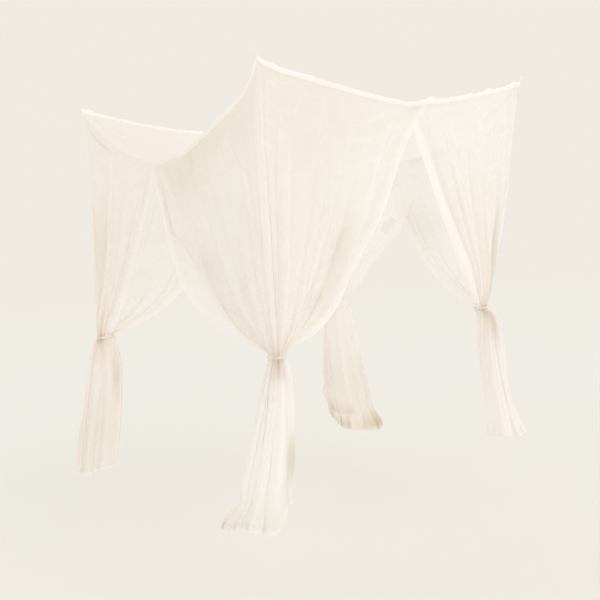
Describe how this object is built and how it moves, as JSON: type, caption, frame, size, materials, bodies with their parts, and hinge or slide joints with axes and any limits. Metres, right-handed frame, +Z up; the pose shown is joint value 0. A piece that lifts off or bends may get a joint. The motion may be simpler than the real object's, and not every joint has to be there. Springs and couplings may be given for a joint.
{
  "type": "mosquito net canopy",
  "caption": "Mosquito net canopy for a double bed, hung by tape loops at its corners, with a sagging net roof and sheer corner curtains, each gathered by a net tie.",
  "frame": {"origin": "where the hook bears in the front corner's hanging loop", "axes": "+Z up, +X along the long side from the front corner to the right corner, +Y along the short side from the front corner to the left corner"},
  "size_m": [2.4683, 2.0122, 2.5426],
  "materials": {
    "net": "sheer ivory netting",
    "tape": "plain woven binding tape",
    "tie": "strip of folded netting"
  },
  "bodies": {
    "root": {"roof_net": "net", "header_front_right": "tape", "header_right_rear": "tape", "header_rear_left": "tape", "header_left_front": "tape", "curtain_front": "net", "curtain_right": "net", "curtain_rear": "net", "curtain_left": "net", "tie_front": "tie", "tie_right": "tie", "tie_rear": "tie", "tie_left": "tie", "loop_front": "tape", "loop_right": "tape", "loop_rear": "tape", "loop_left": "tape"}
  },
  "joints": []
}
